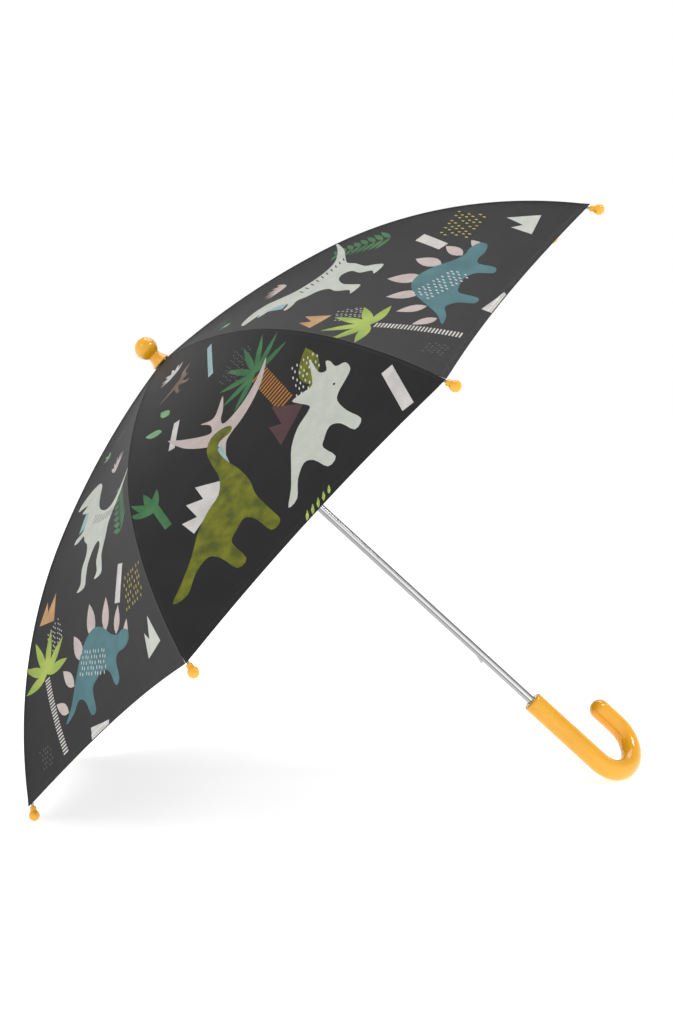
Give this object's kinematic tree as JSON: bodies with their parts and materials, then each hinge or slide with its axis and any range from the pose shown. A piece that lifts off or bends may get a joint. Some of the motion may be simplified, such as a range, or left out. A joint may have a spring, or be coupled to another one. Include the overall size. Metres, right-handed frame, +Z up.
{
  "type": "children's umbrella",
  "caption": "Open children's umbrella with a printed dark canopy on steel ribs, a tube shaft with spring catches, and an orange hook handle and ball tips.",
  "frame": {"origin": "on the floor under the middle of the object's box, as it lies open on two rib tips and the bend of its handle", "axes": "+Z up; the shaft slopes down along +X from the canopy to the handle; the object is close to symmetric about the XZ plane, apart from its hook, catches' slots and strap"},
  "size_m": [0.5742, 0.7226, 0.5371],
  "materials": {
    "orange_plastic": "polished moulded plastic",
    "black_plastic": "matt",
    "shaft_tube": "bright plated tube",
    "plated_steel": "zinc plated pressed steel",
    "glass_fibre": "smooth pultruded rod in a steel clip",
    "canopy_fabric": "printed pongee weave",
    "strap_fabric": "folded and stitched pongee"
  },
  "bodies": {
    "core": {"shaft": "shaft_tube", "handle": "orange_plastic", "finial": "orange_plastic", "apex_washer": "black_plastic", "inner_washer": "black_plastic", "crown": "orange_plastic", "crown_wire": "plated_steel", "stop_pin": "plated_steel"},
    "slider": {"runner": "orange_plastic", "runner_wire": "plated_steel"},
    "upper_catch": {"top_catch": "plated_steel"},
    "lower_catch": {"bottom_catch": "plated_steel"},
    "rib_arm_1": {"rib_1": "plated_steel", "canopy_gore_1": "canopy_fabric"},
    "tip_arm_1": {"outer_rib_1": "glass_fibre", "tip_1": "orange_plastic"},
    "stretcher_arm_1": {"stretcher_1": "plated_steel"},
    "rib_arm_2": {"rib_2": "plated_steel", "canopy_gore_2": "canopy_fabric"},
    "tip_arm_2": {"outer_rib_2": "glass_fibre", "tip_2": "orange_plastic"},
    "stretcher_arm_2": {"stretcher_2": "plated_steel"},
    "rib_arm_3": {"rib_3": "plated_steel", "canopy_gore_3": "canopy_fabric"},
    "tip_arm_3": {"outer_rib_3": "glass_fibre", "tip_3": "orange_plastic"},
    "stretcher_arm_3": {"stretcher_3": "plated_steel"},
    "rib_arm_4": {"rib_4": "plated_steel", "canopy_gore_4": "canopy_fabric"},
    "tip_arm_4": {"outer_rib_4": "glass_fibre", "tip_4": "orange_plastic"},
    "stretcher_arm_4": {"stretcher_4": "plated_steel"},
    "rib_arm_5": {"rib_5": "plated_steel", "canopy_gore_5": "canopy_fabric"},
    "tip_arm_5": {"outer_rib_5": "glass_fibre", "tip_5": "orange_plastic"},
    "stretcher_arm_5": {"stretcher_5": "plated_steel"},
    "rib_arm_6": {"rib_6": "plated_steel", "canopy_gore_6": "canopy_fabric"},
    "tip_arm_6": {"outer_rib_6": "glass_fibre", "tip_6": "orange_plastic", "tie_strap": "strap_fabric", "snap_button": "plated_steel"},
    "stretcher_arm_6": {"stretcher_6": "plated_steel"},
    "rib_arm_7": {"rib_7": "plated_steel", "canopy_gore_7": "canopy_fabric"},
    "tip_arm_7": {"outer_rib_7": "glass_fibre", "tip_7": "orange_plastic"},
    "stretcher_arm_7": {"stretcher_7": "plated_steel"},
    "rib_arm_8": {"rib_8": "plated_steel", "canopy_gore_8": "canopy_fabric"},
    "tip_arm_8": {"outer_rib_8": "glass_fibre", "tip_8": "orange_plastic"},
    "stretcher_arm_8": {"stretcher_8": "plated_steel"}
  },
  "joints": [
    {"name": "canopy_fold", "type": "hinge", "parent": "core", "child": "rib_arm_1", "pos_m": [-0.17167, -0.00306, 0.39042], "axis": [0.2597, -0.9239, 0.2811], "range_deg": [0, 74.4], "deforming": ["canopy_gore_1"]},
    {"name": "rib_fold_2", "type": "hinge", "parent": "core", "child": "rib_arm_2", "pos_m": [-0.16873, -0.00739, 0.3936], "axis": [0.6269, -0.3827, 0.6786], "range_deg": [0, 74.4], "deforming": ["canopy_gore_2"]},
    {"name": "rib_fold_3", "type": "hinge", "parent": "core", "child": "rib_arm_3", "pos_m": [-0.16457, -0.00739, 0.3981], "axis": [0.6269, 0.3827, 0.6786], "range_deg": [0, 74.4], "deforming": ["canopy_gore_3"]},
    {"name": "rib_fold_4", "type": "hinge", "parent": "core", "child": "rib_arm_4", "pos_m": [-0.16164, -0.00306, 0.40128], "axis": [0.2597, 0.9239, 0.2811], "range_deg": [0, 74.4], "deforming": ["canopy_gore_4"]},
    {"name": "rib_fold_5", "type": "hinge", "parent": "core", "child": "rib_arm_5", "pos_m": [-0.16164, 0.00306, 0.40128], "axis": [-0.2597, 0.9239, -0.2811], "range_deg": [0, 74.4], "deforming": ["canopy_gore_5"]},
    {"name": "rib_fold_6", "type": "hinge", "parent": "core", "child": "rib_arm_6", "pos_m": [-0.16457, 0.00739, 0.3981], "axis": [-0.6269, 0.3827, -0.6786], "range_deg": [0, 74.4], "deforming": ["canopy_gore_6"]},
    {"name": "rib_fold_7", "type": "hinge", "parent": "core", "child": "rib_arm_7", "pos_m": [-0.16873, 0.00739, 0.3936], "axis": [-0.6269, -0.3827, -0.6786], "range_deg": [0, 74.4], "deforming": ["canopy_gore_7"]},
    {"name": "rib_fold_8", "type": "hinge", "parent": "core", "child": "rib_arm_8", "pos_m": [-0.17167, 0.00306, 0.39042], "axis": [-0.2597, -0.9239, -0.2811], "range_deg": [0, 74.4], "deforming": ["canopy_gore_8"]},
    {"name": "stretcher_swing_1", "type": "hinge", "parent": "rib_arm_1", "child": "stretcher_arm_1", "pos_m": [-0.25344, -0.06982, 0.24654], "axis": [0.2597, -0.9239, 0.2811], "range_deg": [-148.8, 0]},
    {"name": "stretcher_swing_2", "type": "hinge", "parent": "rib_arm_2", "child": "stretcher_arm_2", "pos_m": [-0.18644, -0.16857, 0.31907], "axis": [0.6269, -0.3827, 0.6786], "range_deg": [-148.8, 0]},
    {"name": "stretcher_swing_3", "type": "hinge", "parent": "rib_arm_3", "child": "stretcher_arm_3", "pos_m": [-0.09167, -0.16857, 0.42164], "axis": [0.6269, 0.3827, 0.6786], "range_deg": [-148.8, 0]},
    {"name": "stretcher_swing_4", "type": "hinge", "parent": "rib_arm_4", "child": "stretcher_arm_4", "pos_m": [-0.02467, -0.06982, 0.49417], "axis": [0.2597, 0.9239, 0.2811], "range_deg": [-148.8, 0]},
    {"name": "stretcher_swing_5", "type": "hinge", "parent": "rib_arm_5", "child": "stretcher_arm_5", "pos_m": [-0.02467, 0.06982, 0.49417], "axis": [-0.2597, 0.9239, -0.2811], "range_deg": [-148.8, 0]},
    {"name": "stretcher_swing_6", "type": "hinge", "parent": "rib_arm_6", "child": "stretcher_arm_6", "pos_m": [-0.09167, 0.16857, 0.42164], "axis": [-0.6269, 0.3827, -0.6786], "range_deg": [-148.8, 0]},
    {"name": "stretcher_swing_7", "type": "hinge", "parent": "rib_arm_7", "child": "stretcher_arm_7", "pos_m": [-0.18644, 0.16857, 0.31907], "axis": [-0.6269, -0.3827, -0.6786], "range_deg": [-148.8, 0]},
    {"name": "stretcher_swing_8", "type": "hinge", "parent": "rib_arm_8", "child": "stretcher_arm_8", "pos_m": [-0.25344, 0.06982, 0.24654], "axis": [-0.2597, -0.9239, -0.2811], "range_deg": [-148.8, 0]},
    {"name": "tip_flex_1", "type": "hinge", "parent": "rib_arm_1", "child": "tip_arm_1", "pos_m": [-0.25649, -0.07306, 0.23871], "axis": [0.2597, -0.9239, 0.2811], "range_deg": [-20.04, 0]},
    {"name": "tip_flex_2", "type": "hinge", "parent": "rib_arm_2", "child": "tip_arm_2", "pos_m": [-0.18638, -0.17638, 0.3146], "axis": [0.6269, -0.3827, 0.6786], "range_deg": [-22.04, 0]},
    {"name": "tip_flex_3", "type": "hinge", "parent": "rib_arm_3", "child": "tip_arm_3", "pos_m": [-0.08722, -0.17638, 0.42193], "axis": [0.6269, 0.3827, 0.6786], "range_deg": [-22.04, 0]},
    {"name": "tip_flex_4", "type": "hinge", "parent": "rib_arm_4", "child": "tip_arm_4", "pos_m": [-0.0171, -0.07306, 0.49782], "axis": [0.2597, 0.9239, 0.2811], "range_deg": [-22.04, 0]},
    {"name": "tip_flex_5", "type": "hinge", "parent": "rib_arm_5", "child": "tip_arm_5", "pos_m": [-0.0171, 0.07306, 0.49782], "axis": [-0.2597, 0.9239, -0.2811], "range_deg": [-22.04, 0]},
    {"name": "tip_flex_6", "type": "hinge", "parent": "rib_arm_6", "child": "tip_arm_6", "pos_m": [-0.08722, 0.17638, 0.42193], "axis": [-0.6269, 0.3827, -0.6786], "range_deg": [-22.04, 0]},
    {"name": "tip_flex_7", "type": "hinge", "parent": "rib_arm_7", "child": "tip_arm_7", "pos_m": [-0.18638, 0.17638, 0.3146], "axis": [-0.6269, -0.3827, -0.6786], "range_deg": [-22.04, 0]},
    {"name": "tip_flex_8", "type": "hinge", "parent": "rib_arm_8", "child": "tip_arm_8", "pos_m": [-0.25649, 0.07306, 0.23871], "axis": [-0.2597, -0.9239, -0.2811], "range_deg": [-20.04, 0]},
    {"name": "runner_pivot", "type": "hinge", "parent": "stretcher_arm_1", "child": "slider", "pos_m": [-0.11647, -0.00306, 0.33943], "axis": [0.2597, -0.9239, 0.2811], "range_deg": [0, 74.4]},
    {"name": "top_catch_press", "type": "slide", "parent": "core", "child": "upper_catch", "axis": [0.6786, 0, 0.7345], "range_m": [0, 0.0026], "stiffness_N_per_m": 600, "springref_m": -0.002},
    {"name": "bottom_catch_press", "type": "slide", "parent": "core", "child": "lower_catch", "axis": [0.6786, 0, 0.7345], "range_m": [0, 0.0026], "stiffness_N_per_m": 600, "springref_m": -0.002}
  ],
  "couplings": [
    {"joint": "rib_fold_2", "follows": "canopy_fold", "ratio": 1},
    {"joint": "rib_fold_3", "follows": "canopy_fold", "ratio": 1},
    {"joint": "rib_fold_4", "follows": "canopy_fold", "ratio": 1},
    {"joint": "rib_fold_5", "follows": "canopy_fold", "ratio": 1},
    {"joint": "rib_fold_6", "follows": "canopy_fold", "ratio": 1},
    {"joint": "rib_fold_7", "follows": "canopy_fold", "ratio": 1},
    {"joint": "rib_fold_8", "follows": "canopy_fold", "ratio": 1},
    {"joint": "stretcher_swing_1", "follows": "canopy_fold", "ratio": -2},
    {"joint": "stretcher_swing_2", "follows": "canopy_fold", "ratio": -2},
    {"joint": "stretcher_swing_3", "follows": "canopy_fold", "ratio": -2},
    {"joint": "stretcher_swing_4", "follows": "canopy_fold", "ratio": -2},
    {"joint": "stretcher_swing_5", "follows": "canopy_fold", "ratio": -2},
    {"joint": "stretcher_swing_6", "follows": "canopy_fold", "ratio": -2},
    {"joint": "stretcher_swing_7", "follows": "canopy_fold", "ratio": -2},
    {"joint": "stretcher_swing_8", "follows": "canopy_fold", "ratio": -2},
    {"joint": "tip_flex_1", "follows": "canopy_fold", "ratio": -0.26937},
    {"joint": "tip_flex_2", "follows": "canopy_fold", "ratio": -0.29625},
    {"joint": "tip_flex_3", "follows": "canopy_fold", "ratio": -0.29625},
    {"joint": "tip_flex_4", "follows": "canopy_fold", "ratio": -0.29625},
    {"joint": "tip_flex_5", "follows": "canopy_fold", "ratio": -0.29625},
    {"joint": "tip_flex_6", "follows": "canopy_fold", "ratio": -0.29625},
    {"joint": "tip_flex_7", "follows": "canopy_fold", "ratio": -0.29625},
    {"joint": "tip_flex_8", "follows": "canopy_fold", "ratio": -0.26937},
    {"joint": "runner_pivot", "follows": "canopy_fold", "ratio": 1}
  ]
}
